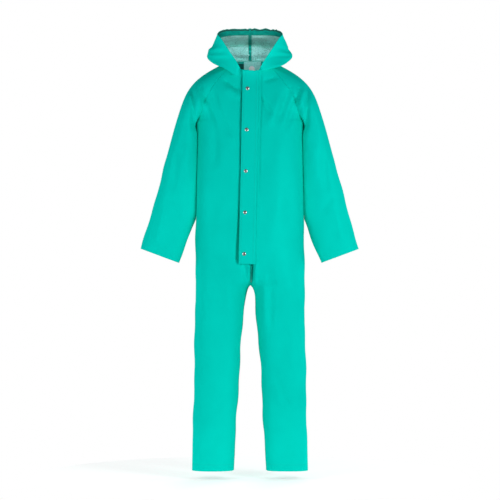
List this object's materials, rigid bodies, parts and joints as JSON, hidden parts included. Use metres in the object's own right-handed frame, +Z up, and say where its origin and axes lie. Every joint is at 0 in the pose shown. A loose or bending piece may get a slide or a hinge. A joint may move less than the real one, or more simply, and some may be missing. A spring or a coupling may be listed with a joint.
{
  "type": "hooded chemical protective coverall",
  "caption": "Hooded coated-fabric protective coverall with raglan sleeves, a zip under a press-studded storm flap, open cuffs and straight legs.",
  "frame": {"origin": "centre of the back neck seam at the nape", "axes": "+X to the wearer's left, -Y to the front, +Z up to the hood"},
  "size_m": [0.894, 0.2508, 1.804],
  "materials": {
    "coat": "satin",
    "lining": "matte",
    "seam_tape": "satin",
    "elastic": "matte",
    "zip_cloth": "matte",
    "zip_coil": "satin",
    "metal": "polished",
    "label": "satin"
  },
  "bodies": {
    "trunk": {"left_front_panel": "coat", "right_front_panel": "coat", "left_back_panel": "coat", "right_back_panel": "coat", "left_sleeve_head": "coat", "right_sleeve_head": "coat", "neck_band": "lining", "inner_fly": "coat", "left_zip_tape": "zip_cloth", "right_zip_tape": "zip_cloth", "left_zip_chain": "zip_coil", "right_zip_chain": "zip_coil", "zip_stops": "metal", "flap_seam_strip": "seam_tape", "stud_posts": "metal", "stud_backs": "metal", "size_patch": "lining", "size_disc": "label", "centre_back_tape": "seam_tape", "crotch_tape": "seam_tape", "left_raglan_tape": "seam_tape", "right_raglan_tape": "seam_tape", "left_side_tape": "seam_tape", "right_side_tape": "seam_tape"},
    "flap": {"storm_flap": "coat", "stud_caps": "metal", "stud_sockets": "metal"},
    "slider": {"zip_slider": "metal"},
    "pull": {"zip_pull": "metal"},
    "hood": {"left_hood_panel": "coat", "right_hood_panel": "coat", "hood_face_hem": "seam_tape", "hood_elastic": "elastic", "hood_centre_tape": "seam_tape"},
    "left_arm": {"left_sleeve": "coat", "left_cuff_hem": "lining", "left_underarm_tape": "seam_tape"},
    "left_leg": {"left_leg_front": "coat", "left_leg_back": "coat", "left_leg_hem": "lining", "left_inseam_tape": "seam_tape", "left_outseam_tape": "seam_tape"},
    "right_arm": {"right_sleeve": "coat", "right_cuff_hem": "lining", "right_underarm_tape": "seam_tape"},
    "right_leg": {"right_leg_front": "coat", "right_leg_back": "coat", "right_leg_hem": "lining", "right_inseam_tape": "seam_tape", "right_outseam_tape": "seam_tape"}
  },
  "joints": [
    {"name": "flap_hinge", "type": "hinge", "parent": "trunk", "child": "flap", "pos_m": [0.022, -0.203, -0.83751], "axis": [0.0202, 0.0379, 0.9991], "range_deg": [0, 150]},
    {"name": "zip_slide", "type": "slide", "parent": "trunk", "child": "slider", "axis": [-0.0202, -0.0379, -0.9991], "range_m": [0, 0.7]},
    {"name": "pull_swing", "type": "hinge", "parent": "slider", "child": "pull", "pos_m": [0.01469, -0.17435, -0.08775], "axis": [-0.0008, 0.9993, -0.0379], "range_deg": [-15, 15]},
    {"name": "hood_tip", "type": "hinge", "parent": "trunk", "child": "hood", "pos_m": [0, 0.004, 0.004], "axis": [-1, 0, 0], "range_deg": [0, 60]},
    {"name": "left_shoulder", "type": "hinge", "parent": "trunk", "child": "left_arm", "pos_m": [0.2, -0.08, -0.167], "axis": [0, -1, 0], "range_deg": [0, 65]},
    {"name": "left_hip", "type": "hinge", "parent": "trunk", "child": "left_leg", "pos_m": [0.12, -0.08, -0.822], "axis": [-1, 0, 0], "range_deg": [-20, 30]},
    {"name": "right_shoulder", "type": "hinge", "parent": "trunk", "child": "right_arm", "pos_m": [-0.2, -0.08, -0.167], "axis": [0, 1, 0], "range_deg": [0, 65]},
    {"name": "right_hip", "type": "hinge", "parent": "trunk", "child": "right_leg", "pos_m": [-0.12, -0.08, -0.822], "axis": [-1, 0, 0], "range_deg": [-20, 30]}
  ]
}
